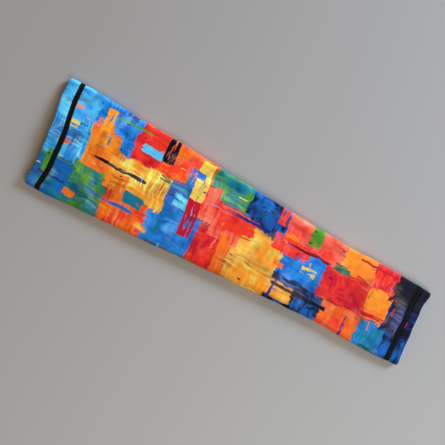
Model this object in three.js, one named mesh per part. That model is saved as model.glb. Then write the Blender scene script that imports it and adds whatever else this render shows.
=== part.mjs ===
// An arm compression sleeve: a tapered tube of printed stretch knit lying on a table, with a turned hem at each
// mouth, a black cover stitch round each hem, and one plain closing seam inside the underside.
// Units are millimetres. X runs from the upper-arm mouth to the wrist mouth, Z is up, and the cloth rests on Z = 0.
import * as THREE from "three";

// Overall sizes
const overallLength = 410; // between the furthest corners of the two mouths
const upperArmWidth = 115; // across the lying tube, just inside the upper-arm mouth
const wristWidth = 78; // across the lying tube, just above the wrist hem
const springHeight = 8; // how much higher than its hems' layers the springy tube stands

// Cloth, thread and the gap kept between pieces
const fabricThickness = 1;
const threadThickness = 0.4;
const clearance = 0.3;

// Hems: from the mouth's edge to the middle of the stitching
const upperHemDepth = 14;
const wristHemDepth = 11.5;
const stitchWidth = 5;
const needleRows = 3;
const rowValley = 0.15; // depth between two rows of thread
const turnOverlap = 1.5; // how far the turned-in layer runs past the stitching
const pinchRamp = 0.8; // the slope where the stitching pinches the cloth

// The tube lies slightly twisted, so each mouth runs at a slant
const upperMouthSlant = 7.4; // how far the mouth's +Y corner stands out past its middle
const wristMouthSlant = 0.8; // how far the mouth's -Y corner stands out past its middle

// Closing seam
const seamWidth = 5;
const seamThickness = 0.8;

// Sections from mouth to mouth. at: share of the tube's length. taper: 0 is the wrist's width and 1 the upper
// arm's. roll: what the rounded side folds stand above the hem's layers, and crown: what the top adds above the
// side folds, both as shares of springHeight.
const sections = [
  { at: 0.0, taper: 0.97, roll: 0.3, crown: 0.52 },
  { at: 0.04, taper: 1.0, roll: 0.34, crown: 0.52 },
  { at: 0.12, taper: 0.88, roll: 0.44, crown: 0.42 },
  { at: 0.23, taper: 0.735, roll: 0.58, crown: 0.28 },
  { at: 0.36, taper: 0.58, roll: 0.72, crown: 0.18 },
  { at: 0.5, taper: 0.36, roll: 0.8, crown: 0.16 },
  { at: 0.64, taper: 0.18, roll: 0.76, crown: 0.15 },
  { at: 0.78, taper: 0.03, roll: 0.58, crown: 0.23 },
  { at: 0.9, taper: 0.05, roll: 0.44, crown: 0.36 },
  { at: 0.96, taper: 0.015, roll: 0.37, crown: 0.46 },
  { at: 1.0, taper: -0.07, roll: 0.34, crown: 0.48 },
];

// Soft folds on the top. from, to: where one runs along the tube. start, end: where it lies across, -1 to 1.
// width: its half breadth as a share of the tube's half width. rise: its height as a share of springHeight.
const folds = [
  { from: 0.02, to: 0.34, start: 0.6, end: 0.42, width: 0.15, rise: 0.09 },
  { from: 0.04, to: 0.3, start: -0.3, end: -0.55, width: 0.2, rise: 0.08 },
  { from: 0.0, to: 0.2, start: 0.16, end: 0.02, width: 0.13, rise: -0.07 },
  { from: 0.26, to: 0.62, start: 0.5, end: 0.62, width: 0.2, rise: 0.07 },
  { from: 0.34, to: 0.78, start: -0.66, end: -0.5, width: 0.2, rise: 0.1 },
  { from: 0.4, to: 0.66, start: 0.1, end: -0.14, width: 0.24, rise: -0.08 },
  { from: 0.66, to: 0.98, start: 0.55, end: 0.4, width: 0.2, rise: 0.08 },
  { from: 0.72, to: 1.0, start: -0.5, end: -0.3, width: 0.18, rise: 0.07 },
];

// How far the top layer is drawn back at each hem, as shares of the hem's depth. across: -1 to 1.
// mouth: at the mouth's edge. stitch: at the stitching.
const upperDrawBack = [
  { across: -1.0, mouth: 0.0, stitch: 0.0 },
  { across: -0.66, mouth: 0.22, stitch: 0.26 },
  { across: -0.33, mouth: 0.235, stitch: 0.31 },
  { across: 0.0, mouth: 0.195, stitch: 0.32 },
  { across: 0.33, mouth: 0.12, stitch: 0.17 },
  { across: 0.66, mouth: -0.07, stitch: 0.015 },
  { across: 1.0, mouth: 0.0, stitch: 0.0 },
];
const wristDrawBack = [
  { across: -1.0, mouth: 0.0, stitch: 0.0 },
  { across: -0.66, mouth: 0.075, stitch: -0.01 },
  { across: -0.33, mouth: 0.155, stitch: 0.1 },
  { across: 0.0, mouth: 0.2, stitch: 0.035 },
  { across: 0.33, mouth: 0.19, stitch: 0.08 },
  { across: 0.66, mouth: 0.2, stitch: 0.08 },
  { across: 1.0, mouth: 0.0, stitch: 0.0 },
];
// The lower layer is drawn back less than the top one, so its edge peeps out, most of all at the wrist.
const upperUnderlayerShare = 0.85;
const wristUnderlayerShare = 0.3;
const drawBackFade = 60; // how far past the stitching the pull dies away

// How finely the surface is divided
const tubeSteps = 30;
const bottomSteps = 6;
const sideSteps = 9;
const topSteps = 24;
const lipSteps = 4;

// What follows from the sizes above
const tubeLength = overallLength - upperMouthSlant - wristMouthSlant;
const pinchDepth = threadThickness + clearance;
const hemThickness = 2 * fabricThickness + clearance;
const hemStack = pinchDepth + hemThickness; // from the outer face to the turned-in layer's inner face
const stitchReach = stitchWidth / 2 + clearance;

// The value of one column of a table at a place, as a smooth curve through its rows.
function smoothColumn(rows, key, column, place) {
  const last = rows.length - 1;
  const inside = THREE.MathUtils.clamp(place, rows[0][key], rows[last][key]);
  let i = 0;
  while (i < last - 1 && inside > rows[i + 1][key]) i += 1;
  const slope = (k) => {
    const before = rows[Math.max(k - 1, 0)];
    const after = rows[Math.min(k + 1, last)];
    return (after[column] - before[column]) / (after[key] - before[key]);
  };
  const span = rows[i + 1][key] - rows[i][key];
  const t = (inside - rows[i][key]) / span;
  const rest = 1 - t;
  return (
    rest * rest * (1 + 2 * t) * rows[i][column] +
    t * t * (3 - 2 * t) * rows[i + 1][column] +
    rest * rest * t * span * slope(i) -
    t * t * rest * span * slope(i + 1)
  );
}

// The lying section at a share of the tube's length.
function sectionAt(share) {
  const taper = smoothColumn(sections, "at", "taper", share);
  return {
    half: (wristWidth + (upperArmWidth - wristWidth) * taper) / 2,
    roll: hemStack + (springHeight * smoothColumn(sections, "at", "roll", share)) / 2,
    crown: springHeight * smoothColumn(sections, "at", "crown", share),
  };
}

// How far the soft folds lift the top layer at a place.
function foldRise(share, across) {
  let rise = 0;
  for (const fold of folds) {
    const along = (share - fold.from) / (fold.to - fold.from);
    if (along <= 0 || along >= 1) continue;
    const line = THREE.MathUtils.lerp(fold.start, fold.end, along);
    const spread = Math.exp(-(((across - line) / fold.width) ** 2));
    rise += fold.rise * Math.sin(Math.PI * along) ** 2 * spread;
  }
  return springHeight * rise * (1 - across ** 4) ** 2;
}

// How far the cloth is drawn back towards the tube's middle, at a distance from one mouth.
function drawBack(rows, hemDepth, distance, across) {
  const mouth = hemDepth * smoothColumn(rows, "across", "mouth", across);
  const stitch = hemDepth * smoothColumn(rows, "across", "stitch", across);
  if (distance < hemDepth) return THREE.MathUtils.lerp(mouth, stitch, distance / hemDepth);
  return stitch * (1 - THREE.MathUtils.smoothstep(distance, hemDepth, hemDepth + drawBackFade));
}

// The places round the section, from the underside's -Y end and turning about +X. across runs from -1 to 1.
// turn is the angle on a side fold.
const around = [];
for (let i = 0; i < bottomSteps; i += 1) {
  around.push({ part: "under", across: -1 + (2 * i) / bottomSteps });
}
for (let i = 0; i < sideSteps; i += 1) {
  around.push({ part: "side", across: 1, turn: -Math.PI / 2 + (Math.PI * i) / sideSteps });
}
for (let i = 0; i < topSteps; i += 1) {
  around.push({ part: "top", across: 1 - (2 * i) / topSteps });
}
for (let i = 0; i < sideSteps; i += 1) {
  around.push({ part: "side", across: -1, turn: Math.PI / 2 + (Math.PI * i) / sideSteps });
}

// Height of the top layer over a place across the section.
function topHeight(section, share, across) {
  return 2 * section.roll + section.crown * (1 - across * across) ** 2 + foldRise(share, across);
}

// A point of the cloth: distance from the upper-arm mouth, place round the section, depth below the outer face.
function clothPoint(distance, place, depth) {
  const share = distance / tubeLength;
  const section = sectionAt(share);
  const flatHalf = section.half - section.roll;
  let y = place.across * flatHalf;
  let z = 0;
  let outY = 0;
  let outZ = -1;
  if (place.part === "side") {
    outY = Math.cos(place.turn);
    outZ = Math.sin(place.turn);
    y += section.roll * outY;
    z = section.roll + section.roll * outZ;
  } else if (place.part === "top") {
    const nudge = 0.01;
    const higher = topHeight(section, share, place.across + nudge);
    const lower = topHeight(section, share, place.across - nudge);
    const slope = (higher - lower) / (2 * nudge * flatHalf);
    outZ = 1 / Math.hypot(1, slope);
    outY = -slope * outZ;
    z = topHeight(section, share, place.across);
  }
  const fromWrist = tubeLength - distance;
  const underneath = place.part === "under";
  const upperPull = drawBack(upperDrawBack, upperHemDepth, distance, place.across);
  const wristPull = drawBack(wristDrawBack, wristHemDepth, fromWrist, place.across);
  const pulled =
    upperPull * (underneath ? upperUnderlayerShare : 1) - wristPull * (underneath ? wristUnderlayerShare : 1);
  const slant = THREE.MathUtils.lerp(upperMouthSlant, wristMouthSlant, share);
  const x = upperMouthSlant - overallLength / 2 + distance - (slant * y) / section.half + pulled;
  return [x, y - depth * outY, z - depth * outZ];
}

// Carries a closed profile of { distance, depth } points round the tube, as one closed solid.
function bandRoundTube(profile) {
  const positions = profile.flatMap(({ distance, depth }) =>
    around.flatMap((place) => clothPoint(distance, place, depth)),
  );
  const index = [];
  for (let k = 0; k < profile.length; k += 1) {
    const next = (k + 1) % profile.length;
    for (let j = 0; j < around.length; j += 1) {
      const beside = (j + 1) % around.length;
      const here = k * around.length;
      const there = next * around.length;
      index.push(here + j, here + beside, there + j);
      index.push(here + beside, there + beside, there + j);
    }
  }
  const geometry = new THREE.BufferGeometry();
  geometry.setAttribute("position", new THREE.Float32BufferAttribute(positions, 3));
  geometry.setIndex(index);
  geometry.computeVertexNormals();
  return geometry;
}

// Turns a profile drawn from the upper-arm mouth into the same profile drawn from the wrist mouth.
function fromWristMouth(profile) {
  return profile.map(({ distance, depth }) => ({ distance: tubeLength - distance, depth })).reverse();
}

// The outer face of the tube's wall, pinched under the stitching at both ends.
function tubeFace() {
  const upperPinchEnd = upperHemDepth + stitchReach;
  const wristPinchEnd = tubeLength - wristHemDepth - stitchReach;
  const first = upperPinchEnd + pinchRamp;
  const last = wristPinchEnd - pinchRamp;
  const face = [
    { distance: upperHemDepth + clearance / 2, depth: pinchDepth },
    { distance: upperPinchEnd, depth: pinchDepth },
  ];
  for (let i = 0; i <= tubeSteps; i += 1) {
    face.push({ distance: THREE.MathUtils.lerp(first, last, i / tubeSteps), depth: 0 });
  }
  face.push({ distance: wristPinchEnd, depth: pinchDepth });
  face.push({ distance: tubeLength - wristHemDepth - clearance / 2, depth: pinchDepth });
  return face;
}

// The single layer of knit between the two lines of stitching.
function tubeGeometry() {
  const outer = tubeFace();
  const inner = outer
    .map(({ distance, depth }) => ({ distance, depth: depth + fabricThickness }))
    .reverse();
  return bandRoundTube([...outer, ...inner]);
}

// A hem's section: the cloth folded in round the mouth's lip and run back past the stitching, under the tube.
function hemProfile(hemDepth) {
  const lip = hemThickness / 2;
  const pinchStart = hemDepth - stitchReach;
  const turnOuter = pinchDepth + fabricThickness + clearance;
  const turnEnd = hemDepth + stitchWidth / 2 + turnOverlap;
  const profile = [];
  for (let i = 0; i <= lipSteps; i += 1) {
    const turn = (Math.PI * i) / lipSteps;
    profile.push({ distance: lip - lip * Math.sin(turn), depth: lip + lip * Math.cos(turn) });
  }
  profile.push({ distance: pinchStart - pinchRamp, depth: 0 });
  profile.push({ distance: pinchStart, depth: pinchDepth });
  profile.push({ distance: hemDepth - clearance / 2, depth: pinchDepth });
  profile.push({ distance: hemDepth - clearance / 2, depth: turnOuter });
  profile.push({ distance: turnEnd, depth: turnOuter });
  profile.push({ distance: turnEnd, depth: hemStack });
  profile.push({ distance: pinchStart, depth: hemStack });
  profile.push({ distance: pinchStart - pinchRamp, depth: hemThickness });
  return profile;
}

// A cover stitch's section: needle rows side by side, their crests level with the cloth's outer face.
function stitchProfile(hemDepth) {
  const profile = [];
  for (let i = 0; i <= 2 * needleRows; i += 1) {
    const distance = hemDepth - stitchWidth / 2 + (stitchWidth * i) / (2 * needleRows);
    profile.push({ distance, depth: i % 2 ? 0 : rowValley });
  }
  profile.push({ distance: hemDepth + stitchWidth / 2, depth: threadThickness });
  profile.push({ distance: hemDepth - stitchWidth / 2, depth: threadThickness });
  return profile;
}

// How far along X a line across the underside lies, at a distance from the upper-arm mouth and a place y.
function underX(distance, y) {
  const section = sectionAt(distance / tubeLength);
  return clothPoint(distance, { part: "under", across: y / (section.half - section.roll) }, 0)[0];
}

// The closing seam's folded allowance, lying along the inside of the underside between the two hems' turns.
function seamGeometry() {
  const hemEnd = stitchWidth / 2 + turnOverlap + clearance;
  const startX = underX(upperHemDepth + hemEnd, -seamWidth / 2);
  const endX = underX(tubeLength - wristHemDepth - hemEnd, seamWidth / 2);
  const rise = fabricThickness + clearance;
  const section = new THREE.Shape();
  section.moveTo(-seamWidth / 2, rise);
  section.lineTo(seamWidth / 2, rise);
  section.lineTo(seamWidth / 2, rise + seamThickness / 2);
  section.lineTo(seamWidth / 4, rise + seamThickness);
  section.lineTo(-seamWidth / 4, rise + seamThickness);
  section.lineTo(-seamWidth / 2, rise + seamThickness / 2);
  section.closePath();
  const geometry = new THREE.ExtrudeGeometry(section, { depth: endX - startX, bevelEnabled: false });
  geometry.rotateX(Math.PI / 2).rotateZ(Math.PI / 2).translate(startX, 0, 0);
  return geometry;
}

const printedKnit = new THREE.MeshStandardMaterial({ color: 0xe8743a, roughness: 0.72, metalness: 0 });
const hemKnit = new THREE.MeshStandardMaterial({ color: 0x2f7fd0, roughness: 0.72, metalness: 0 });
const blackThread = new THREE.MeshStandardMaterial({ color: 0x101218, roughness: 0.6, metalness: 0 });
const paleThread = new THREE.MeshStandardMaterial({ color: 0xe6e6e2, roughness: 0.8, metalness: 0 });

function piece(name, geometry, material) {
  const mesh = new THREE.Mesh(geometry, material);
  mesh.name = name;
  return mesh;
}

const armSleeve = new THREE.Group();
armSleeve.name = "arm_sleeve";
armSleeve.add(
  piece("knit_tube", tubeGeometry(), printedKnit),
  piece("upper_arm_hem", bandRoundTube(hemProfile(upperHemDepth)), hemKnit),
  piece("wrist_hem", bandRoundTube(fromWristMouth(hemProfile(wristHemDepth))), hemKnit),
  piece("upper_arm_cover_stitch", bandRoundTube(stitchProfile(upperHemDepth)), blackThread),
  piece("wrist_cover_stitch", bandRoundTube(fromWristMouth(stitchProfile(wristHemDepth))), blackThread),
  piece("closing_seam", seamGeometry(), paleThread),
);

export default armSleeve;
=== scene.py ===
"""An arm compression sleeve of printed stretch knit, lying flat on a pale table.

Lengths are in metres. X runs from the upper-arm mouth to the wrist mouth, and Z is up.
"""
import math

import bpy
import numpy as np
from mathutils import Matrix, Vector


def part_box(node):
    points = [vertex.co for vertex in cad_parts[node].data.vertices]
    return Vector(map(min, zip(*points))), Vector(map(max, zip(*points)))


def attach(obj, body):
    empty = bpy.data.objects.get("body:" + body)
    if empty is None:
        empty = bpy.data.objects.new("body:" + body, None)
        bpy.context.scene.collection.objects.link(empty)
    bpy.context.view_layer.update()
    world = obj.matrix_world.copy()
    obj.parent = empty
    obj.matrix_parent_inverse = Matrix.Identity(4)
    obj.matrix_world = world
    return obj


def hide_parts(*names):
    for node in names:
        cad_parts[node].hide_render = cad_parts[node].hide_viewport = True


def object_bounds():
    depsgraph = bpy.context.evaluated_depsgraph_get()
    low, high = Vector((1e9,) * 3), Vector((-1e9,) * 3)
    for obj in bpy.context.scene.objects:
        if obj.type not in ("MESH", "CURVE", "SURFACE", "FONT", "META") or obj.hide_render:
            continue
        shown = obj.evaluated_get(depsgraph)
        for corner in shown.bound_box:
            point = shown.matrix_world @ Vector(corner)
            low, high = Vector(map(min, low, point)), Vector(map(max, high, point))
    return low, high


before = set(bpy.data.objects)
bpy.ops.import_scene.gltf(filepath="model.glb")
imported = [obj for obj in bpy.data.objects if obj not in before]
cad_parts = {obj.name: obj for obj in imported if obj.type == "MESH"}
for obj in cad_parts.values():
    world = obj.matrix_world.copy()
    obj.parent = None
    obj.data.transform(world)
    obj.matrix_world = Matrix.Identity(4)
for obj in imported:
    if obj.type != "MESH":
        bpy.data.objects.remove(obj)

mm = 0.001
cad_low, cad_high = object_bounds()

# Sizes of the sleeve, as in the model that the part file builds
overall_length = cad_high.x - cad_low.x
upper_arm_width = 115 * mm
wrist_width = 78 * mm
spring_height = 8 * mm
fabric_thickness = 1 * mm
thread_thickness = 0.4 * mm
clearance = 0.3 * mm
upper_hem_depth = 14 * mm
wrist_hem_depth = 11.5 * mm
stitch_width = 5 * mm
turn_overlap = 1.5 * mm
pinch_ramp = 0.8 * mm
upper_mouth_slant = 7.4 * mm
wrist_mouth_slant = 0.8 * mm
draw_back_fade = 60 * mm
upper_underlayer_share = 0.85
wrist_underlayer_share = 0.3

# Threads of the cover stitching
stitch_length = 2.3 * mm
needle_radius = 0.27 * mm
cross_radius = 0.2 * mm
looper_radius = 0.18 * mm
thread_press = 0.22 * mm
thread_sides = 6

# Heights of the cloth's small bumps, and how far the mouths' edges stray
slow_wave_height = 0.4 * mm
quick_wave_height = 0.16 * mm
side_wave_height = 0.45 * mm
ripple_height = 0.32 * mm
lip_height = 0.6 * mm
upper_mouth_stray = 0.75 * mm
wrist_mouth_stray = 0.4 * mm

# What follows from them
tube_length = overall_length - upper_mouth_slant - wrist_mouth_slant
pinch_depth = thread_thickness + clearance
hem_thickness = 2 * fabric_thickness + clearance
hem_stack = pinch_depth + hem_thickness
stitch_reach = stitch_width / 2 + clearance
upper_stitch_line = upper_hem_depth
wrist_stitch_line = tube_length - wrist_hem_depth

# Sections from mouth to mouth. at: share of the tube's length. taper: 0 is the wrist's width and 1 the upper
# arm's. roll: height of the side folds above flattened cloth. crown: height of the top above the folds. Both
# are shares of spring_height.
SECTIONS = [
    dict(at=0.0, taper=0.97, roll=0.3, crown=0.52),
    dict(at=0.04, taper=1.0, roll=0.34, crown=0.52),
    dict(at=0.12, taper=0.88, roll=0.44, crown=0.42),
    dict(at=0.23, taper=0.735, roll=0.58, crown=0.28),
    dict(at=0.36, taper=0.58, roll=0.72, crown=0.18),
    dict(at=0.5, taper=0.36, roll=0.8, crown=0.16),
    dict(at=0.64, taper=0.18, roll=0.76, crown=0.15),
    dict(at=0.78, taper=0.03, roll=0.58, crown=0.23),
    dict(at=0.9, taper=0.05, roll=0.44, crown=0.36),
    dict(at=0.96, taper=0.015, roll=0.37, crown=0.46),
    dict(at=1.0, taper=-0.07, roll=0.34, crown=0.48),
]

# Soft folds on the top. start and stop: shares of the tube's length. line: where the fold lies across at its
# two ends, from -1 to 1. width: share of the half width. rise: share of spring_height.
FOLDS = [
    dict(start=0.02, stop=0.34, line=(0.6, 0.42), width=0.15, rise=0.09),
    dict(start=0.04, stop=0.3, line=(-0.3, -0.55), width=0.2, rise=0.08),
    dict(start=0.0, stop=0.2, line=(0.16, 0.02), width=0.13, rise=-0.07),
    dict(start=0.26, stop=0.62, line=(0.5, 0.62), width=0.2, rise=0.07),
    dict(start=0.34, stop=0.78, line=(-0.66, -0.5), width=0.2, rise=0.1),
    dict(start=0.4, stop=0.66, line=(0.1, -0.14), width=0.24, rise=-0.08),
    dict(start=0.66, stop=0.98, line=(0.55, 0.4), width=0.2, rise=0.08),
    dict(start=0.72, stop=1.0, line=(-0.5, -0.3), width=0.18, rise=0.07),
]

# How far the top layer is drawn back at each hem. across: from -1 to 1. mouth and stitch: at the mouth's edge
# and at the stitching, as shares of the hem's depth.
UPPER_DRAW_BACK = [
    dict(across=-1.0, mouth=0.0, stitch=0.0),
    dict(across=-0.66, mouth=0.22, stitch=0.26),
    dict(across=-0.33, mouth=0.235, stitch=0.31),
    dict(across=0.0, mouth=0.195, stitch=0.32),
    dict(across=0.33, mouth=0.12, stitch=0.17),
    dict(across=0.66, mouth=-0.07, stitch=0.015),
    dict(across=1.0, mouth=0.0, stitch=0.0),
]
WRIST_DRAW_BACK = [
    dict(across=-1.0, mouth=0.0, stitch=0.0),
    dict(across=-0.66, mouth=0.075, stitch=-0.01),
    dict(across=-0.33, mouth=0.155, stitch=0.1),
    dict(across=0.0, mouth=0.2, stitch=0.035),
    dict(across=0.33, mouth=0.19, stitch=0.08),
    dict(across=0.66, mouth=0.2, stitch=0.08),
    dict(across=1.0, mouth=0.0, stitch=0.0),
]

# Kinds of place round the section, in order. The plus side is the side fold at +Y.
UNDER, PLUS_SIDE, TOP, MINUS_SIDE, UNDER_AGAIN = range(5)


def smoothstep(low, high, x):
    """0 below low, 1 above high, and 3t^2 - 2t^3 between them."""
    t = np.clip((x - low) / (high - low), 0, 1)
    return t * t * (3 - 2 * t)


def smooth_column(rows, key, name, place):
    """One column of a table at each place: a cubic through the rows, sloped as the rows beside each."""
    keys = np.array([row[key] for row in rows])
    values = np.array([row[name] for row in rows])
    number = np.arange(len(rows))
    before, after = np.maximum(number - 1, 0), np.minimum(number + 1, len(rows) - 1)
    slopes = (values[after] - values[before]) / (keys[after] - keys[before])
    inside = np.clip(place, keys[0], keys[-1])
    i = np.clip(np.searchsorted(keys, inside, side="right") - 1, 0, len(rows) - 2)
    span = keys[i + 1] - keys[i]
    t = (inside - keys[i]) / span
    rest = 1 - t
    ends = rest**2 * (1 + 2 * t) * values[i] + t**2 * (3 - 2 * t) * values[i + 1]
    return ends + rest**2 * t * span * slopes[i] - t**2 * rest * span * slopes[i + 1]


def soft_noise(x, y, seed):
    """Smooth noise from -1 to 1: random heights on a unit grid, blended from four corners by smoothstep."""
    size = 128
    heights = np.random.default_rng(seed).uniform(-1, 1, (size, size))
    x, y = np.broadcast_arrays(x, y)
    i, j = np.floor(x).astype(int), np.floor(y).astype(int)
    s, t = smoothstep(0, 1, x - i), smoothstep(0, 1, y - j)
    low = heights[i % size, j % size] * (1 - s) + heights[(i + 1) % size, j % size] * s
    high = heights[i % size, (j + 1) % size] * (1 - s) + heights[(i + 1) % size, (j + 1) % size] * s
    return low * (1 - t) + high * t


def section_at(distance):
    """Half width, side-fold radius and crown of the lying section at a distance from the upper-arm mouth."""
    share = distance / tube_length
    half = (wrist_width + (upper_arm_width - wrist_width) * smooth_column(SECTIONS, "at", "taper", share)) / 2
    roll = hem_stack + spring_height * smooth_column(SECTIONS, "at", "roll", share) / 2
    crown = spring_height * smooth_column(SECTIONS, "at", "crown", share)
    return half, roll, crown


def places_round(count, line):
    """Even steps round the section at one distance, from the closing seam under the middle, turning about +X.

    Each place is a kind (underside, side fold or top), how far across from -1 to 1, and the angle on a side
    fold.
    """
    half, roll, _ = section_at(line)
    flat = half - roll
    side = math.pi * roll
    s = np.linspace(0, 4 * flat + 2 * side, count + 1)
    edges = np.cumsum([flat, side, 2 * flat, side])
    kind = np.searchsorted(edges, s, side="right").clip(0, UNDER_AGAIN)
    past = s - np.concatenate([[0], edges])[kind]
    across = np.choose(kind, [past / flat, 1.0, 1 - past / flat, -1.0, -1 + past / flat])
    turn = np.choose(kind, [0.0, -math.pi / 2 + past / roll, 0.0, math.pi / 2 + past / roll, 0.0])
    return dict(kind=kind, across=across, turn=turn)


def fold_rise(share, across):
    """Lift of the soft folds: a bell across each line times a squared sine along it, 0 at the sides."""
    rise = 0
    for fold in FOLDS:
        along = np.clip((share - fold["start"]) / (fold["stop"] - fold["start"]), 0, 1)
        line = fold["line"][0] + (fold["line"][1] - fold["line"][0]) * along
        spread = np.exp(-(((across - line) / fold["width"]) ** 2))
        rise = rise + fold["rise"] * np.sin(math.pi * along) ** 2 * spread
    return spring_height * rise * (1 - across**4) ** 2


def top_height(distance, across):
    """Height of the top layer: the side folds' height, a (1 - a^2)^2 crown, and the soft folds."""
    _, roll, crown = section_at(distance)
    return 2 * roll + crown * (1 - across**2) ** 2 + fold_rise(distance / tube_length, across)


def draw_back(rows, hem_depth, distance, across):
    """How far the cloth is pulled along the tube near one mouth.

    It changes evenly from the mouth to the stitching, and dies away by smoothstep past it.
    """
    mouth = hem_depth * smooth_column(rows, "across", "mouth", across)
    stitch = hem_depth * smooth_column(rows, "across", "stitch", across)
    within = mouth + (stitch - mouth) * distance / hem_depth
    past = stitch * (1 - smoothstep(hem_depth, hem_depth + draw_back_fade, distance))
    return np.where(distance < hem_depth, within, past)


def round_way(distance, ring):
    """Distance round the cloth from the middle of the top, plus towards +Y and minus towards -Y."""
    half, roll, _ = section_at(distance)
    flat = half - roll
    kind, across, turn = ring["kind"], ring["across"], ring["turn"]
    whole = 2 * flat + math.pi * roll
    y = across * flat
    plus_side = flat + roll * (math.pi / 2 - turn)
    minus_side = -flat - roll * (turn - math.pi / 2)
    return np.choose(kind, [whole - y, plus_side, y, minus_side, -whole - y])


def upward_share(ring):
    """0 on the underside and 1 on the top, by smoothstep over the side folds between them."""
    kind = ring["kind"]
    on_side = (kind == PLUS_SIDE) | (kind == MINUS_SIDE)
    return np.where(on_side, smoothstep(-0.9, 0.6, np.sin(ring["turn"])), np.where(kind == TOP, 1.0, 0.0))


def relief(distance, ring):
    """Small bumps of the cloth, outwards, each a height times soft noise.

    There are slow and quick waves all over, ripples beside each line of stitching and wider ones beside each
    mouth, both of which die away exponentially, and waves along the side folds. All fade to nothing on the
    underside, which the table flattens.
    """
    way = round_way(distance, ring)
    kind, turn = ring["kind"], ring["turn"]
    on_side = (kind == PLUS_SIDE) | (kind == MINUS_SIDE)
    bulge = np.where(on_side, np.cos(turn) ** 2, 0.0)
    slow_waves = soft_noise(distance / (42 * mm), way / (27 * mm), seed=3)
    quick_waves = soft_noise(distance / (19 * mm) + 9, way / (11 * mm), seed=4)
    side_waves = soft_noise(distance / (13 * mm), np.sign(way) * 3.0, seed=5)
    ripples = 0
    for line in (upper_stitch_line, wrist_stitch_line):
        near = np.exp(-np.abs(distance - line) / (6 * mm))
        ripples = ripples + near * soft_noise(way / (2.3 * mm), distance / (40 * mm), seed=6)
    lips = 0
    for mouth in (0, tube_length):
        near = np.exp(-np.abs(distance - mouth) / (12 * mm))
        lips = lips + near * soft_noise(way / (12 * mm), distance / (50 * mm), seed=7)
    waves = slow_wave_height * slow_waves + quick_wave_height * quick_waves
    bumps = waves + ripple_height * ripples + lip_height * lips
    return upward_share(ring) * bumps + bulge * (side_wave_height * side_waves)


def mouth_wander(distance, ring):
    """How far each mouth's edge strays along the tube: noise round it, dying away as a bell past the hem.

    It fades to nothing at the closing seam.
    """
    way = round_way(distance, ring)
    underneath = (ring["kind"] == UNDER) | (ring["kind"] == UNDER_AGAIN)
    held = np.where(underneath, np.abs(ring["across"]), 1.0)
    upper = soft_noise(way / (10 * mm), 0.5, seed=8) * np.exp(-((distance / (16 * mm)) ** 2))
    wrist = soft_noise(way / (9 * mm), 0.5, seed=9) * np.exp(-(((tube_length - distance) / (14 * mm)) ** 2))
    return held * (upper_mouth_stray * upper - wrist_mouth_stray * wrist)


def cloth(distance, ring, depth):
    """Places on the cloth and the way out of it there, for each distance, place round the section and depth.

    The section is flat below, with half circles at its sides and top_height between them. Each place is
    slanted with the mouths, pulled along the tube, and moved out by the relief and in by its depth.
    """
    distance, across, turn, kind, depth = np.broadcast_arrays(
        distance, ring["across"], ring["turn"], ring["kind"], depth
    )
    half, roll, _ = section_at(distance)
    flat = half - roll
    nudge = 0.01
    slope = (top_height(distance, across + nudge) - top_height(distance, across - nudge)) / (2 * nudge * flat)
    on_side = (kind == PLUS_SIDE) | (kind == MINUS_SIDE)
    tilt = 1 / np.hypot(1, slope)
    out_y = np.select([on_side, kind == TOP], [np.cos(turn), -slope * tilt], 0.0)
    out_z = np.select([on_side, kind == TOP], [np.sin(turn), tilt], -1.0)
    y = across * flat + np.where(on_side, roll * out_y, 0)
    z = np.select([on_side, kind == TOP], [roll + roll * out_z, top_height(distance, across)], 0.0)
    underneath = (kind == UNDER) | (kind == UNDER_AGAIN)
    upper_pull = draw_back(UPPER_DRAW_BACK, upper_hem_depth, distance, across)
    wrist_pull = draw_back(WRIST_DRAW_BACK, wrist_hem_depth, tube_length - distance, across)
    pulled = upper_pull * np.where(underneath, upper_underlayer_share, 1.0)
    pulled = pulled - wrist_pull * np.where(underneath, wrist_underlayer_share, 1.0)
    share = distance / tube_length
    slant = upper_mouth_slant + (wrist_mouth_slant - upper_mouth_slant) * share
    x = upper_mouth_slant - overall_length / 2 + distance - slant * y / half + pulled
    x = x + mouth_wander(distance, ring)
    lift = relief(distance, ring) - depth
    out = np.stack([np.zeros_like(x), out_y, out_z], axis=-1)
    return np.stack([x, y, z], axis=-1) + out * lift[..., None], out


def girth(distance):
    """Length once round the lying section: its two flat layers and its two side folds."""
    half, roll, _ = section_at(distance)
    return 4 * (half - roll) + 2 * math.pi * roll


def placed(name, data):
    """A new object with that data, in the scene."""
    thing = bpy.data.objects.new(name, data)
    bpy.context.scene.collection.objects.link(thing)
    return thing


def new_piece(name, points, faces, materials, uv=None, face_materials=None):
    """A mesh object at the origin, from arrays of points, faces and each corner's place on the flat cloth."""
    mesh = bpy.data.meshes.new(name)
    mesh.from_pydata(points.reshape(-1, 3).tolist(), [], faces.tolist())
    if uv is not None:
        mesh.uv_layers.new(name="flat cloth").data.foreach_set("uv", uv.astype(np.float32).ravel())
    for material in materials:
        mesh.materials.append(material)
    if face_materials is not None:
        mesh.polygons.foreach_set("material_index", face_materials.astype(np.int32))
    mesh.polygons.foreach_set("use_smooth", np.ones(len(faces), bool))
    mesh.update()
    return placed(name, mesh)


def wrapped_grid(rows, columns):
    """Faces of a grid whose last row meets its first, and whose last column meets its first."""
    k, j = np.meshgrid(np.arange(rows), np.arange(columns), indexing="ij")
    next_k, next_j = (k + 1) % rows, (j + 1) % columns
    corners = [k * columns + j, k * columns + next_j, next_k * columns + next_j, next_k * columns + j]
    return np.stack(corners, axis=-1).reshape(-1, 4)


def steps_between(ends, counts):
    """Even steps from each end to the next, so many in each stretch."""
    stretches = [
        np.linspace(low, high, count, endpoint=False)
        for low, high, count in zip(ends, ends[1:], counts)
    ]
    return np.append(np.concatenate(stretches), ends[-1])


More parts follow.
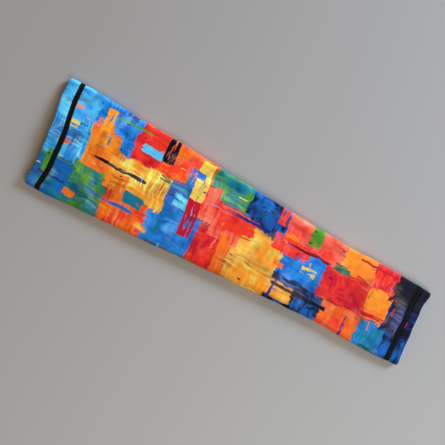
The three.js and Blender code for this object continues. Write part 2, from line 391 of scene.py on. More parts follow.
def band_round_tube(name, profile, face_materials, columns, materials, line):
    """Carries a closed profile round the tube, as a grid of the profile's rows by places round.

    The profile's columns are distance, depth and the way along the flat cloth.
    """
    distance, depth, way_along = (profile[:, i : i + 1] for i in range(3))
    ring = places_round(columns, line)
    points, _ = cloth(distance, ring, depth)
    rows = len(profile)
    k, j = np.meshgrid(np.arange(rows), np.arange(columns), indexing="ij")
    flat = np.stack(np.broadcast_arrays(way_along, round_way(distance, ring)), axis=-1)
    after = (k + 1) % rows
    uv = np.stack([flat[k, j], flat[k, j + 1], flat[after, j + 1], flat[after, j]], axis=2)
    marks = np.repeat(face_materials, columns)
    return new_piece(name, points[:, :-1], wrapped_grid(rows, columns), materials, uv, marks)


def pinch(distance, line):
    """Depth of the groove that stitching presses into the cloth: full under it, ending by smoothstep."""
    past_edge = np.abs(distance - line) - stitch_reach + pinch_ramp / 2
    return pinch_depth * (1 - smoothstep(0, pinch_ramp, past_edge))


# Paints of the print
PAINTS = dict(
    sky="#2a96f0", cyan="#52c6fa", royal="#166dcd", deep="#10317f",
    navy="#070a22", teal="#107c98", pine="#1b6650", green="#4f9c28",
    lime="#b2c832", yellow="#f3cf55", amber="#ff9f2a", orange="#ff7a22",
    vermilion="#fb3a2a", coral="#ff735c", crimson="#c8122e", maroon="#701426",
    pale="#e9e6e8", ink="#141018",
)

# Where the fields of the print begin, in millimetres from the upper-arm mouth. Chance moves all but the
# first a little in each strip.
FIELD_STARTS = (-30, 34, 80, 124, 172, 216, 262, 306, 348, 377)

# Strips of the print, side by side along the sleeve, each a row of fields. They go from the -Y half of the
# underside over the top to the +Y half, and each covers the one before from its own side on. side: where that
# lies at the upper-arm mouth, in millimetres across from the middle of the top. lean: how far it leans across
# for each millimetre along. paints: one for each field, and brushed_in: the one brushed into it.
STRIPS = [
    dict(paints="deep sky crimson amber green sky royal orange vermilion royal",
         brushed_in="royal royal maroon orange teal cyan navy yellow crimson sky"),
    dict(side=-66, lean=0.05,
         paints="royal teal vermilion sky vermilion amber navy orange sky royal",
         brushed_in="teal green orange royal crimson yellow royal vermilion teal navy"),
    dict(side=-19, lean=0.015,
         paints="sky amber amber royal vermilion yellow sky vermilion amber navy",
         brushed_in="cyan orange yellow teal coral amber royal crimson orange deep"),
    dict(side=21, lean=-0.015,
         paints="cyan royal vermilion orange teal royal coral amber crimson navy",
         brushed_in="sky sky crimson vermilion green navy vermilion orange vermilion ink"),
    dict(side=66, lean=-0.05,
         paints="sky teal orange vermilion yellow deep green coral crimson sky",
         brushed_in="royal pine amber coral amber navy lime vermilion maroon cyan"),
]

# Loose strokes over the fields, a row for each layer. cell: the space that each stroke has. half: half
# its length and breadth. Both are in millimetres. turn: degrees. share: how many cells are painted. dry:
# the level of the bristles' noise, from 0 to 1, under which nothing is painted. rag: range of the ragged
# ends, in millimetres. paints: what chance picks from for each stroke.
STROKE_LAYERS = [
    dict(cell=(53, 37), half=(16, 7.5), turn=1, share=0.42, dry=0.36, rag=9,
         paints="orange vermilion sky amber teal crimson yellow royal coral cyan"),
    dict(cell=(39, 56), half=(6, 17), turn=-2, share=0.38, dry=0.38, rag=7,
         paints="royal amber crimson sky green orange navy vermilion teal yellow"),
    dict(cell=(27, 19), half=(7, 3), turn=3, share=0.2, dry=0.44, rag=5,
         paints="yellow cyan vermilion pine orange royal lime coral amber deep"),
    dict(cell=(67, 31), half=(24, 1.3), turn=-1, share=0.62, dry=0.38, rag=5,
         paints="navy crimson deep maroon navy royal crimson green"),
    dict(cell=(41, 49), half=(1.1, 17), turn=2, share=0.42, dry=0.4, rag=5,
         paints="maroon navy crimson deep pine crimson navy teal"),
    dict(cell=(21, 14), half=(4.5, 0.5), turn=-4, share=0.16, dry=0.48, rag=4,
         paints="pale yellow cyan amber coral orange lime cyan"),
    dict(cell=(15, 23), half=(0.5, 4.5), turn=5, share=0.14, dry=0.48, rag=4,
         paints="amber cyan yellow coral amber cyan sky crimson"),
    dict(cell=(16, 12), half=(1.1, 0.6), turn=0, share=0.16, dry=0.36, rag=2.5,
         paints="ink maroon navy pine crimson ink deep maroon"),
]


def linear(hex_colour):
    """A screen colour as the linear red, green, blue and alpha that a shader takes."""
    parts = [int(hex_colour[i : i + 2], 16) / 255 for i in (1, 3, 5)]
    return tuple(c / 12.92 if c <= 0.04045 else ((c + 0.055) / 1.055) ** 2.4 for c in parts) + (1.0,)


class Nodes:
    """Short ways to add shader nodes to a tree and link them."""

    def __init__(self, tree):
        self.tree = tree

    def add(self, kind, inputs=None, **settings):
        node = self.tree.nodes.new(kind)
        for name, value in settings.items():
            setattr(node, name, value)
        for key, value in (inputs or {}).items():
            self.put(node.inputs[key], value)
        return node

    def put(self, socket, value):
        if isinstance(value, bpy.types.NodeSocket):
            self.tree.links.new(value, socket)
        else:
            socket.default_value = value

    def math(self, operation, *values, kind="ShaderNodeMath"):
        node = self.add(kind, operation=operation)
        for socket, value in zip(node.inputs, values):
            self.put(socket, value)
        return node.outputs[0]

    def vector(self, operation, *values):
        return self.math(operation, *values, kind="ShaderNodeVectorMath")

    def split(self, vector):
        return self.add("ShaderNodeSeparateXYZ", {"Vector": vector}).outputs

    def scaled(self, vector, scale):
        output = self.vector("SCALE", vector)
        self.put(output.node.inputs["Scale"], scale)
        return output

    def ramp(self, value, low, high, to=(0.0, 1.0), kind="SMOOTHSTEP"):
        inputs = {"Value": value, "From Min": low, "From Max": high, "To Min": to[0], "To Max": to[1]}
        return self.add("ShaderNodeMapRange", inputs, interpolation_type=kind).outputs["Result"]

    def mix(self, share, first, second, blend="MIX"):
        node = self.add("ShaderNodeMix", data_type="RGBA", blend_type=blend)
        for number, value in ((0, share), (6, first), (7, second)):
            self.put(node.inputs[number], value)
        return node.outputs[2]

    def noise(self, place, scale, detail=2.0, roughness=0.5, flat=True):
        inputs = {"Vector": place, "Scale": scale, "Detail": detail, "Roughness": roughness}
        return self.add("ShaderNodeTexNoise", inputs, noise_dimensions="2D" if flat else "3D").outputs


def group_tree(name, inputs, outputs):
    """An empty node group with these inputs and outputs, its nodes, and its two ends."""
    tree = bpy.data.node_groups.new(name, "ShaderNodeTree")
    for label, kind in inputs:
        tree.interface.new_socket(label, in_out="INPUT", socket_type="NodeSocket" + kind)
    for label, kind in outputs:
        tree.interface.new_socket(label, in_out="OUTPUT", socket_type="NodeSocket" + kind)
    n = Nodes(tree)
    return tree, n, n.add("NodeGroupInput").outputs, n.add("NodeGroupOutput").inputs


def brush_edge(n, local, half, bristles, rag):
    """How far inside a stroke each place lies: its half size less the place, made ragged by the bristles."""
    inside = n.vector("SUBTRACT", half, n.vector("ABSOLUTE", local))
    parts = n.split(inside)
    ragged = n.math("MULTIPLY", n.math("SUBTRACT", bristles, 0.5), rag)
    longer = n.math("ADD", parts["X"], ragged)
    wider = n.math("MULTIPLY_ADD", ragged, 0.35, parts["Y"])
    return n.math("MINIMUM", longer, wider)


def loose_strokes_group():
    """Strokes strewn over the cloth, at most one in each cell of a grid.

    Chance sets each one's place in its cell, its size and which paint it takes. The group gives where they
    cover, and a number from 0 to 1 that picks the paint.
    """
    margin = 1.6
    smallest, size_range = 0.6, 0.7
    dry_blur, edge_blur = 0.04, 0.35
    pick_stretch = 7.31
    inputs = [(name, "Vector") for name in ("Place", "Cell", "Half")]
    inputs += [(name, "Float") for name in ("Bristles", "Turn", "Seed", "Share", "Dry", "Rag")]
    tree, n, given, result = group_tree("loose strokes", inputs, [("Cover", "Float"), ("Pick", "Float")])
    turned = n.add("ShaderNodeVectorRotate", {"Vector": given["Place"], "Angle": given["Turn"]}).outputs[0]
    shift = n.add("ShaderNodeCombineXYZ", {"X": given["Seed"], "Y": given["Seed"]}).outputs[0]
    grid = n.vector("ADD", n.vector("DIVIDE", turned, given["Cell"]), shift)
    cell = n.vector("FLOOR", grid)
    off_middle = n.vector("SUBTRACT", n.vector("SUBTRACT", grid, cell), (0.5, 0.5, 0))
    within = n.vector("MULTIPLY", off_middle, given["Cell"])
    dice = {"Vector": cell, "W": given["Seed"]}
    chance = n.add("ShaderNodeTexWhiteNoise", dice, noise_dimensions="4D").outputs
    spread = n.vector("SUBTRACT", chance["Color"], (0.5, 0.5, 0.5))
    room = n.vector("MULTIPLY_ADD", given["Half"], (-margin, -margin, 0), given["Cell"])
    local = n.vector("SUBTRACT", within, n.vector("MULTIPLY", spread, room))
    third = n.split(chance["Color"])["Z"]
    sized = n.scaled(given["Half"], n.math("MULTIPLY_ADD", third, size_range, smallest))
    edge = brush_edge(n, local, sized, given["Bristles"], given["Rag"])
    barely_dry, barely_wet = n.math("SUBTRACT", given["Dry"], dry_blur), n.math("ADD", given["Dry"], dry_blur)
    wet = n.ramp(given["Bristles"], barely_dry, barely_wet)
    cover = n.math("MULTIPLY", n.ramp(edge, -edge_blur, edge_blur), wet)
    drawn = n.math("LESS_THAN", chance["Value"], given["Share"])
    n.put(result["Cover"], n.math("MULTIPLY", cover, drawn))
    n.put(result["Pick"], n.math("FRACT", n.math("MULTIPLY", third, pick_stretch)))
    return tree


def painted_fields(n, place, bristles, streaks):
    """Broad fields of paint in strips along the sleeve, each strip over the last with a ragged side.

    The strips' sides step to and fro by chance from one block of the sleeve's length to the next. They are
    smeared in some patches and crisp in others, and a dark line is scored along some stretches of them.
    """
    first_start, print_end, start_shift = FIELD_STARTS[0], 440, 10
    rag_along, rag_across = 9.0, 6.0
    block_length, step_reach = 37, 17.0
    smear_patch, scored_patch = 19, 27
    parts = n.split(place)
    ragged = n.math("SUBTRACT", bristles, 0.5)
    along = n.math("MULTIPLY_ADD", ragged, rag_along, parts["X"])
    block = n.math("FLOOR", n.math("MULTIPLY", along, 1 / block_length))
    step = n.add("ShaderNodeTexWhiteNoise", {"W": block}, noise_dimensions="1D").outputs["Value"]
    straight = n.math("MULTIPLY_ADD", n.math("SUBTRACT", step, 0.5), step_reach, parts["Y"])
    across = n.math("MULTIPLY_ADD", ragged, rag_across, straight)
    share = n.ramp(along, first_start, print_end, kind="LINEAR")
    soft = n.ramp(streaks, 0.42, 0.64)
    rng = np.random.default_rng(11)
    colour = None
    smear = n.ramp(n.noise(place, 1 / smear_patch, 1.0)["Fac"], 0.48, 0.66, (0.5, 3.2))
    scored = n.ramp(n.noise(place, 1 / scored_patch, 1.0)["Fac"], 0.5, 0.54)
    for strip in STRIPS:
        starts = [first_start]
        starts += [start + rng.uniform(-start_shift, start_shift) for start in FIELD_STARTS[1:]]
        places = [(start - first_start) / (print_end - first_start) for start in starts]
        first, second = (paint_box(n, share, strip[row].split(), places) for row in ("paints", "brushed_in"))
        paint = n.mix(soft, first, second)
        if colour is None:
            colour = paint
            continue
        past = n.math("SUBTRACT", n.math("MULTIPLY_ADD", along, -strip["lean"], across), strip["side"])
        colour = n.mix(n.ramp(past, n.math("MULTIPLY", smear, -1.0), smear), colour, paint)
        knife = n.math("SUBTRACT", n.math("MULTIPLY_ADD", along, -strip["lean"], straight), strip["side"])
        score = n.ramp(n.math("ABSOLUTE", knife), 0.2, 0.6, (0.8, 0.0))
        colour = n.mix(n.math("MULTIPLY", score, scored), colour, linear(PAINTS["navy"]))
    return colour


def paint_box(n, pick, names, places=None):
    """Named paints in hard steps of a number from 0 to 1, even ones where no places are given."""
    node = n.add("ShaderNodeValToRGB", {"Fac": pick})
    ramp = node.color_ramp
    ramp.interpolation = "CONSTANT"
    places = places or [number / len(names) for number in range(len(names))]
    for number, (name, place) in enumerate(zip(names, places)):
        stop = ramp.elements[0] if number == 0 else ramp.elements.new(place)
        stop.position = place
        stop.color = linear(PAINTS[name])
    ramp.elements.remove(ramp.elements[-1])
    return node.outputs["Color"]


def worn_thin(n, place, bristles, colour):
    """Lightens the paint in patches, as where it is thin over pale cloth, and most on the bristles' marks."""
    patches = n.ramp(n.noise(n.vector("ADD", place, (310, 90, 0)), 1 / 26, 1.0)["Fac"], 0.5, 0.7)
    thin = n.math("MULTIPLY", patches, n.ramp(bristles, 0.36, 0.66, (0.4, 1.0)))
    colour = n.mix(thin, colour, (0.3, 0.34, 0.3, 1), "DODGE")
    return n.mix(thin, colour, (0.1, 0.075, 0.06, 1), "SCREEN")


def glazed(n, place, bristles, colour):
    """Darkens the paint in patches, as a dark glaze over it does, and most between the bristles' marks."""
    patches = n.ramp(n.noise(n.vector("ADD", place, (40, 270, 0)), 1 / 22, 1.0)["Fac"], 0.54, 0.7)
    glaze = n.math("MULTIPLY", patches, n.ramp(bristles, 0.34, 0.66, (0.85, 0.35)))
    return n.mix(glaze, colour, (0.6, 0.4, 0.48, 1), "MULTIPLY")


def brushed_print_group():
    """The whole print, worked out in millimetres on the flat cloth.

    Noise makes each place wander, and stretched noise makes brush bristles. Broad fields of paint come first
    and loose strokes over them. Then patches of the paint are thinned or glazed, and bristles streak it.
    """
    slow_length, quick_length = 21, 4.3
    bristle_length, bristle_breadth = 30, 3.4
    tree, n, given, result = group_tree("brushed print", [("Flat cloth", "Vector")], [("Colour", "Color")])
    place = n.scaled(given["Flat cloth"], 1 / mm)
    slow, quick = (
        n.vector("SUBTRACT", n.noise(place, 1 / length)["Color"], (0.5, 0.5, 0.5))
        for length in (slow_length, quick_length)
    )
    quickened = n.vector("MULTIPLY_ADD", quick, (1.8, 1.8, 0), place)
    wavered = n.vector("MULTIPLY_ADD", slow, (7, 7, 0), quickened)
    steady = n.vector("MULTIPLY_ADD", slow, (3.5, 3.5, 0), quickened)
    lengthwise = (1 / bristle_length, 1 / bristle_breadth, 0)
    crosswise = (1 / bristle_breadth, 1 / bristle_length, 0)
    along, across = (
        n.noise(n.vector("MULTIPLY", wavered, stretch), 1.0, 3.0, 0.6)["Fac"]
        for stretch in (lengthwise, crosswise)
    )
    patches = n.noise(place, 1 / 34, 1.0)["Fac"]
    either_way = {0: n.ramp(patches, 0.47, 0.53), 2: along, 3: across}
    bristles = n.add("ShaderNodeMix", either_way, data_type="FLOAT").outputs[0]
    half_bristles = n.math("MULTIPLY", bristles, 0.5)
    streaks = n.math("MULTIPLY_ADD", n.noise(wavered, 1 / 17, 2.0)["Fac"], 0.55, half_bristles)
    colour = painted_fields(n, wavered, bristles, streaks)
    strokes = loose_strokes_group()
    for number, row in enumerate(STROKE_LAYERS):
        values = {
            "Place": steady,
            "Bristles": along if row["half"][0] > row["half"][1] else across,
            "Cell": (*row["cell"], 1),
            "Half": (*row["half"], 0),
            "Turn": math.radians(row["turn"]),
            "Seed": 0.37 + 2.61 * number,
            "Share": row["share"],
            "Dry": row["dry"],
            "Rag": row["rag"],
        }
        node = n.add("ShaderNodeGroup", values, node_tree=strokes)
        paint = paint_box(n, node.outputs["Pick"], row["paints"].split())
        colour = n.mix(node.outputs["Cover"], colour, paint)
    colour = worn_thin(n, place, bristles, colour)
    colour = glazed(n, place, bristles, colour)
    fine = n.math("MULTIPLY", n.math("ADD", along, across), 0.5)
    tone = n.ramp(fine, 0.3, 0.7, (0.69, 1.07), "LINEAR")
    n.put(result["Colour"], n.scaled(colour, tone))
    return tree


def principled(name, **sockets):
    """A new material, its nodes and its shader, with constant sockets set on the shader itself."""
    material = bpy.data.materials.new(name)
    material.use_nodes = True
    n = Nodes(material.node_tree)
    shader = material.node_tree.nodes["Principled BSDF"]
    for key, value in sockets.items():
        shader.inputs[key.replace("_", " ")].default_value = value
    return material, n, shader


def underside_seam(n):
    """1 in the narrow valley where the closing seam draws the two edges together, all along the underside."""
    parts = n.split(n.add("ShaderNodeTexCoord").outputs["Object"])
    valley = n.ramp(n.math("ABSOLUTE", parts["Y"]), 0.1 * mm, 0.8 * mm, (1, 0))
    return n.math("MULTIPLY", valley, n.math("LESS_THAN", parts["Z"], fabric_thickness / 2))


def knit_bump(n, place, strength, valley=0.0):
    """Rows of tiny V-shaped knit loops: ribs along the sleeve, each crossed by slanting half loops."""
    parts = n.split(place)
    wale, course = 0.62 * mm, 0.48 * mm
    slant, loop_share, valley_share = 0.55, 0.4, -5.0
    across = n.math("PINGPONG", n.math("DIVIDE", parts["Y"], wale / 2), 1.0)
    slanted = n.math("ADD", n.math("DIVIDE", parts["X"], course), n.math("MULTIPLY", across, slant))
    loop = n.math("SINE", n.math("MULTIPLY", slanted, 2 * math.pi))
    rib = n.math("SINE", n.math("MULTIPLY", across, math.pi))
    height = n.math("MULTIPLY_ADD", valley, valley_share, n.math("MULTIPLY_ADD", loop, loop_share, rib))
    bump = n.add("ShaderNodeBump", {"Height": height, "Strength": strength, "Distance": 0.08 * mm})
    return bump.outputs[0], height


def print_on_cloth(n, print_group):
    """The place on the flat cloth, and the print's colour there."""
    flat = n.add("ShaderNodeUVMap", uv_map="flat cloth").outputs[0]
    return flat, n.add("ShaderNodeGroup", {"Flat cloth": flat}, node_tree=print_group).outputs[0]


def printed_knit_material(print_group):
    """Outside of the cloth: the print on a smooth stretch knit with a soft sheen, and painted shade between
    its loops and in the seam's valley.
    """
    material, n, shader = principled(
        "printed knit", Roughness=0.5, Sheen_Weight=0.4, Sheen_Roughness=0.15, Specular_IOR_Level=0.12
    )
    flat, art = print_on_cloth(n, print_group)
    seam = underside_seam(n)
    bump, height = knit_bump(n, flat, 0.5, seam)
    # Painted shade: the print is darkened in the hollows between knit loops, and down to 0.45 in the closing
    # seam's valley.
    loop_shade = n.ramp(height, -0.4, 1.2, (0.88, 1.04), "LINEAR")
    seam_shade = n.ramp(seam, 0, 1, (1, 0.45))
    shade = n.math("MULTIPLY", loop_shade, seam_shade)
    n.put(shader.inputs["Base Color"], n.scaled(art, shade))
    n.put(shader.inputs["Normal"], bump)
    return material


def bare_knit_material(print_group):
    """Inside of the cloth: unprinted pale knit with a faint ghost of the print."""
    material, n, shader = principled("bare knit", Roughness=0.75, Sheen_Weight=0.15, Specular_IOR_Level=0.25)
    flat, art = print_on_cloth(n, print_group)
    bump, _ = knit_bump(n, flat, 0.4)
    n.put(shader.inputs["Base Color"], n.mix(0.14, (0.78, 0.79, 0.8, 1), art))
    n.put(shader.inputs["Normal"], bump)
    return material


def thread_material(name, colour):
    """Bulky spun thread: fine twisted fibres as bumps, and painted shade that darkens the hollows between
    them in streaks.
    """
    material, n, shader = principled(name, Roughness=0.65, Sheen_Weight=0.03, Specular_IOR_Level=0.18)
    place = n.add("ShaderNodeTexCoord").outputs["Object"]
    fibres = n.noise(place, 3500, 2.0, 0.6, flat=False)["Fac"]
    # Painted shade: where the fibres' bump is low, the colour falls to 0.55 of itself.
    dark = tuple(0.55 * c for c in colour[:3]) + (1.0,)
    n.put(shader.inputs["Base Color"], n.mix(n.ramp(fibres, 0.3, 0.7), dark, colour))
    bump = n.add("ShaderNodeBump", {"Height": fibres, "Strength": 0.4, "Distance": 0.1 * mm})
    n.put(shader.inputs["Normal"], bump.outputs[0])
    return material


def tube_profile():
    """The tube's wall: its outer face from hem to hem, and its inner face back."""
    first, last = upper_stitch_line + clearance / 2, wrist_stitch_line - clearance / 2
    near_stitching = 9 * mm
    ends = [first, first + near_stitching, last - near_stitching, last]
    outer = steps_between(ends, (22, 190, 22))
    inner = steps_between(ends[::-1], (12, 70, 12))
    groove = pinch(outer, upper_stitch_line) + pinch(outer, wrist_stitch_line)
    inner_groove = pinch(inner, upper_stitch_line) + pinch(inner, wrist_stitch_line)
    out_rows = np.column_stack([outer, groove, outer])
    in_rows = np.column_stack([inner, inner_groove + fabric_thickness, inner])
    face = np.concatenate([np.zeros(len(outer), int), np.ones(len(inner), int)])
    return np.concatenate([out_rows, in_rows]), face


def hem_profile(hem_depth):
    """A hem's folded cloth, and which of its faces are the bare wrong side.

    It starts inside the mouth and goes round the lip to the stitching, back between the two layers, round the
    inside of the fold, out to the turned layer's end, and back along that layer's inner face.
    """
    lip = hem_thickness / 2
    out = np.linspace(lip, hem_depth - clearance / 2, 16)
    back = np.linspace(lip, hem_depth + stitch_width / 2 + turn_overlap, 18)
    groove = pinch(out, hem_depth)
    squeeze = pinch_depth * smoothstep(0, pinch_ramp, back - hem_depth + stitch_reach)
    turned_in = 2 * lip - math.pi * lip - back
    arc = np.linspace(0, math.pi, 12)

    def fold(radius):
        return np.column_stack(
            [lip - radius * np.sin(arc), lip + radius * np.cos(arc), lip - lip * (math.pi - arc)]
        )

    right_side = [fold(lip), np.column_stack([out, groove, out])[1:]]
    wrong_side = [
        np.column_stack([out, groove + fabric_thickness, out])[::-1],
        fold(clearance / 2)[-2::-1],
        np.column_stack([back, squeeze + fabric_thickness + clearance, turned_in])[1:],
    ]
    turned_side = [np.column_stack([back, squeeze + hem_thickness, turned_in])[:0:-1]]
    groups = [np.concatenate(side) for side in (right_side, wrong_side, turned_side)]
    bare = np.concatenate([np.full(len(group), number == 1) for number, group in enumerate(groups)])
    return np.concatenate(groups), bare


def from_wrist_mouth(profile, bare):
    """The same profile drawn from the wrist mouth, in the other order so that its faces still point out."""
    turned = profile[::-1] * (-1, 1, -1) + (tube_length, 0, tube_length)
    return turned, np.roll(bare[::-1], -1)


def tube_along(path, up, radius, closed=True):
    """A thread: a circle of a few sides carried along a path, square to it, with caps if it is open."""
    ahead = np.roll(path, -1, axis=0) - np.roll(path, 1, axis=0) if closed else np.gradient(path, axis=0)
    ahead /= np.linalg.norm(ahead, axis=1, keepdims=True)
    side = np.cross(ahead, up)
    side /= np.linalg.norm(side, axis=1, keepdims=True)
    over = np.cross(side, ahead)
    angle = np.linspace(0, 2 * math.pi, thread_sides, endpoint=False)
    circle = np.cos(angle)[:, None] * side[:, None] + np.sin(angle)[:, None] * over[:, None]
    points = path[:, None] + radius * circle
    grid = wrapped_grid if closed else capped_grid
    return points, grid(len(path), thread_sides)[:, ::-1]


def capped_grid(rows, columns):
    """Faces of a grid whose last column meets its first, with a row of quads across each open end."""
    walls = wrapped_grid(rows, columns)[: (rows - 1) * columns]
    j = np.arange(columns // 2 - 1)
    first = np.stack([j, columns - 1 - j, columns - 2 - j, j + 1], axis=-1)
    last = (rows - 1) * columns + first[:, ::-1]
    return np.concatenate([walls, first, last])


def joined(parts):
    """Several arrays of points and faces as one."""
    starts = np.cumsum([0] + [points.reshape(-1, 3).shape[0] for points, _ in parts])
    points = np.concatenate([points.reshape(-1, 3) for points, _ in parts])
    faces = np.concatenate([faces + start for (_, faces), start in zip(parts, starts)])
    return points, faces


def zigzag(phase):
    """A zigzag from -1 to 1 with rounded corners: the arcsine of a sine that is held a little under 1."""
    return np.arcsin(0.97 * np.sin(phase)) / (math.pi / 2)


def cover_stitch(name, line, material):
    """Cover stitching round the tube: a ridged bed of thread, with single threads on it.

    Three needle rows dip at each stitch by the eighth power of a cosine, two threads zigzag between them, and
    a looper thread zigzags on the wrong side.
    """
    stitches = round(girth(line) / stitch_length)
    columns = 330
    bed_depth, bed_bottom, bed_ridge = 0.36 * mm, 0.62 * mm, 0.1 * mm
    needle_depth, needle_dip, cross_depth = 0.06 * mm, 0.16 * mm, 0.09 * mm
    crest = np.linspace(-1, 1, 25)
    bed_top = bed_ridge * (1 - np.abs(np.cos(3 * math.pi * (crest + 1) / 2)))
    face = np.column_stack([line + crest * stitch_width / 2, bed_depth + bed_top])
    back = np.column_stack([line + crest[::-8] * stitch_width / 2, np.full(4, bed_bottom)])
    bed = np.concatenate([face, back])
    points, _ = cloth(bed[:, :1], places_round(columns, line), bed[:, 1:])
    parts = [(points[:, :-1], wrapped_grid(len(bed), columns))]
    steps = 12 * stitches
    ring = places_round(steps, line)
    ring = {key: value[:-1] for key, value in ring.items()}
    phase = 2 * math.pi * stitches * np.arange(steps) / steps
    press = thread_press * (1 - upward_share(ring))
    for row in (-1, 0, 1):
        sink = needle_dip * np.cos(phase / 2 + row) ** 8
        place = line + row * (stitch_width / 2 - 0.35 * mm) + 0 * phase
        path, out = cloth(place, ring, needle_depth + press + sink)
        parts.append(tube_along(path, out, needle_radius))
    for way in (0, math.pi):
        place = line + zigzag(phase + way) * (stitch_width / 2 - 0.25 * mm)
        over = 0.1 * mm * np.cos(2 * phase + way)
        path, out = cloth(place, ring, cross_depth + press - over)
        parts.append(tube_along(path, out, cross_radius))
    place = line + zigzag(phase) * (stitch_width / 2 - 0.3 * mm)
    path, out = cloth(place, ring, hem_stack + 0.06 * mm)
    parts.append(tube_along(path, out, looper_radius))
    points, faces = joined(parts)
    return new_piece(name, points, faces, [material])


def rounded_box_ring(angle, half_breadth, half_height):
    """Places round a flat strip's section: a superellipse, where each is the root of an ellipse's."""
    across, up = np.cos(angle), np.sin(angle)
    y = half_breadth * np.sign(across) * np.abs(across) ** 0.5
    z = half_height * np.sign(up) * np.abs(up) ** 0.5
    return y, z


def closing_seam_piece(knit, overcast):
    """The seam allowance inside the underside: a flat rounded strip, and one thread that winds along it."""
    low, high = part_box("closing_seam")
    middle_y, middle_z = (low[1] + high[1]) / 2, (low[2] + high[2]) / 2
    half_breadth, half_height = (high[1] - low[1]) / 2, (high[2] - low[2]) / 2
    rows, columns = 380, 20
    x = np.linspace(low[0], high[0], rows)[:, None]
    angle = np.linspace(0, 2 * math.pi, columns, endpoint=False)[None, :]
    breadth = half_breadth * (0.94 + 0.05 * soft_noise(x / (3 * mm), 0.0, seed=21))
    y, z = rounded_box_ring(angle, breadth, half_height * 0.9)
    strip = np.stack(np.broadcast_arrays(x, middle_y + y, middle_z + z), axis=-1)
    pitch, thread_radius, end_gap = 2.1 * mm, 0.14 * mm, 1 * mm
    turns = int((high[0] - low[0] - 2 * end_gap) / pitch)
    phase = np.linspace(0, 2 * math.pi * turns, 14 * turns + 1)
    y, z = rounded_box_ring(phase, half_breadth * 0.99, half_height)
    path = np.stack([low[0] + end_gap + pitch * phase / (2 * math.pi), middle_y + y, middle_z + z], axis=-1)
    thread = tube_along(path, np.array([1.0, 0, 0]), thread_radius, closed=False)
    parts = [(strip, capped_grid(rows, columns)), thread]
    points, faces = joined(parts)
    marks = np.concatenate([np.full(len(part_faces), number) for number, (_, part_faces) in enumerate(parts)])
    uv = points[faces][..., :2]
    return new_piece("overcast_closing_seam", points, faces, [knit, overcast], uv, marks)


def main():
    """The six pieces, each in place of its node."""
    art = brushed_print_group()
    printed = printed_knit_material(art)
    bare = bare_knit_material(art)
    black = thread_material("black thread", (0.004, 0.004, 0.007, 1.0))
    pale = thread_material("pale thread", (0.75, 0.75, 0.73, 1.0))

    knit = [printed, bare]
    tube = band_round_tube("printed_tube", *tube_profile(), 290, knit, tube_length / 2)
    upper_hem = band_round_tube("upper_arm_turned_hem", *hem_profile(upper_hem_depth), 300, knit, 0)
    wrist_profile = from_wrist_mouth(*hem_profile(wrist_hem_depth))
    wrist_hem = band_round_tube("wrist_turned_hem", *wrist_profile, 240, knit, tube_length)
    upper_stitch = cover_stitch("upper_arm_cover_threads", upper_stitch_line, black)
    wrist_stitch = cover_stitch("wrist_cover_threads", wrist_stitch_line, black)

    seam = closing_seam_piece(bare, pale)

    for piece, node, slot in (
        (tube, "knit_tube", "printed_knit"),
        (upper_hem, "upper_arm_hem", "hem_knit"),
        (wrist_hem, "wrist_hem", "hem_knit"),
        (upper_stitch, "upper_arm_cover_stitch", "black_thread"),
        (wrist_stitch, "wrist_cover_stitch", "black_thread"),
        (seam, "closing_seam", "pale_thread"),
    ):
        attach(piece, "root")
        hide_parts(node)


# The camera, at the photo's angle and framing. picture_side and sleeve_middle, the place of the sleeve's
# middle in the picture, are in pixels. lens and sensor are in millimetres.
azimuth = math.radians(29.0)
elevation = math.radians(80)
picture_side = 445
sleeve_middle = (226.3, 226.2)
pixels_per_metre = 1040
middle_past_origin = 2.4 * mm
lens = 65
sensor = 36

# Soft square lamps, aimed at the sleeve. right and up: metres from its middle towards the picture's right and
# top. high: metres above the table. size: metres. power: watts.
LAMPS = [
    dict(name="window", right=1.6, up=0.55, high=0.98, size=0.68, power=40, colour=(0.6, 0.77, 0.98)),
    dict(name="far lamp", right=0.5, up=2.4, high=0.2, size=0.4, power=90, colour=(1, 0.92, 0.82)),
    dict(name="near lamp", right=0.2, up=-0.7, high=0.8, size=0.5, power=5.5, colour=(0.95, 1, 0.98)),
]


def add_camera():
    """Aims the camera so that the sleeve's middle falls on its place in the picture.

    It gives the ways along the table that point right and up in the picture.
    """
    right = Vector((math.cos(azimuth), math.sin(azimuth), 0))
    forward = Vector((-math.sin(azimuth), math.cos(azimuth), 0))
    back = -forward * math.cos(elevation) + Vector((0, 0, math.sin(elevation)))
    middle = Vector((middle_past_origin, 0, (cad_low.z + cad_high.z) / 2))
    off_right = (sleeve_middle[0] - picture_side / 2) / pixels_per_metre
    off_down = (sleeve_middle[1] - picture_side / 2) / pixels_per_metre
    target = middle - right * off_right + forward * off_down / math.sin(elevation)
    field = picture_side / pixels_per_metre
    data = bpy.data.cameras.new("camera")
    data.lens = lens
    data.sensor_width = sensor
    camera = placed("camera", data)
    camera.location = target + back * field * lens / sensor
    camera.rotation_euler = (-back).to_track_quat("-Z", "Y").to_euler()
    bpy.context.scene.camera = camera
    return right, forward


def add_light(name, place, size, power, colour):
    """A square soft light, aimed at the sleeve's middle."""
    data = bpy.data.lights.new(name, "AREA")
    data.size = size
    data.energy = power
    data.color = colour
    light = placed(name, data)
    light.location = place
    light.rotation_euler = (-place).to_track_quat("-Z", "Y").to_euler()
    return light


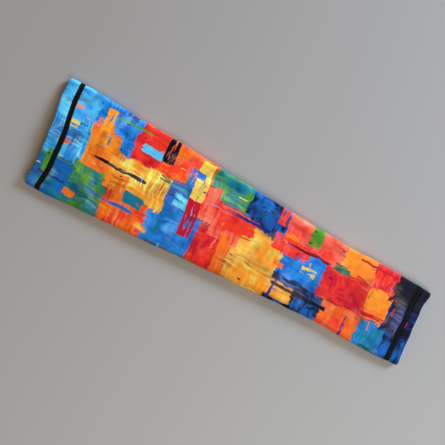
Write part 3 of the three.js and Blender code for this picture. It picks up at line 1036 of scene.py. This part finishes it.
def add_table():
    """A plain pale table top, just under the sleeve."""
    reach, gap = 4.0, 0.1 * mm
    mesh = bpy.data.meshes.new("table")
    corners = [(-reach, -reach), (reach, -reach), (reach, reach), (-reach, reach)]
    mesh.from_pydata([(x, y, -gap) for x, y in corners], [], [(0, 1, 2, 3)])
    table = placed("table", mesh)
    material, _, shader = principled("pale table", Roughness=0.7, Specular_IOR_Level=0.2)
    shader.inputs["Base Color"].default_value = (0.405, 0.403, 0.394, 1)
    mesh.materials.append(material)
    return table


def pale_sky():
    """Warm light from above that pales to grey by the horizon, by the height of each direction."""
    world = bpy.data.worlds.new("pale sky")
    world.use_nodes = True
    n = Nodes(world.node_tree)
    direction = n.add("ShaderNodeTexCoord").outputs["Generated"]
    height = n.split(direction)["Z"]
    sky = n.add("ShaderNodeValToRGB", {"Fac": height})
    horizon, above = sky.color_ramp.elements
    horizon.position = 0.04
    horizon.color = (0.42, 0.4, 0.38, 1)
    above.position = 0.3
    above.color = (0.31, 0.195, 0.105, 1)
    background = world.node_tree.nodes["Background"]
    n.put(background.inputs["Color"], sky.outputs["Color"])
    background.inputs["Strength"].default_value = 1.0
    return world


def keep_light_off(lamp, thing):
    """The lamp lights everything but that one thing."""
    unlit = bpy.data.collections.new("not lit by the " + lamp.name)
    unlit.objects.link(thing)
    unlit.collection_objects[0].light_linking.link_state = "EXCLUDE"
    lamp.light_linking.receiver_collection = unlit


def add_surroundings():
    """The camera, the table, a pale sky and soft lamps.

    The far lamp skims the cloth for a pale rim. It leaves out the table and all gloss, which would glare in
    low views.
    """
    right, up = add_camera()
    table = add_table()
    scene = bpy.context.scene
    scene.world = pale_sky()
    lamps = {}
    for row in LAMPS:
        place = right * row["right"] + up * row["up"] + Vector((0, 0, row["high"]))
        lamps[row["name"]] = add_light(row["name"], place, row["size"], row["power"], row["colour"])
    keep_light_off(lamps["far lamp"], table)
    lamps["far lamp"].visible_glossy = False
    scene.view_settings.view_transform = "Standard"


main()
add_surroundings()
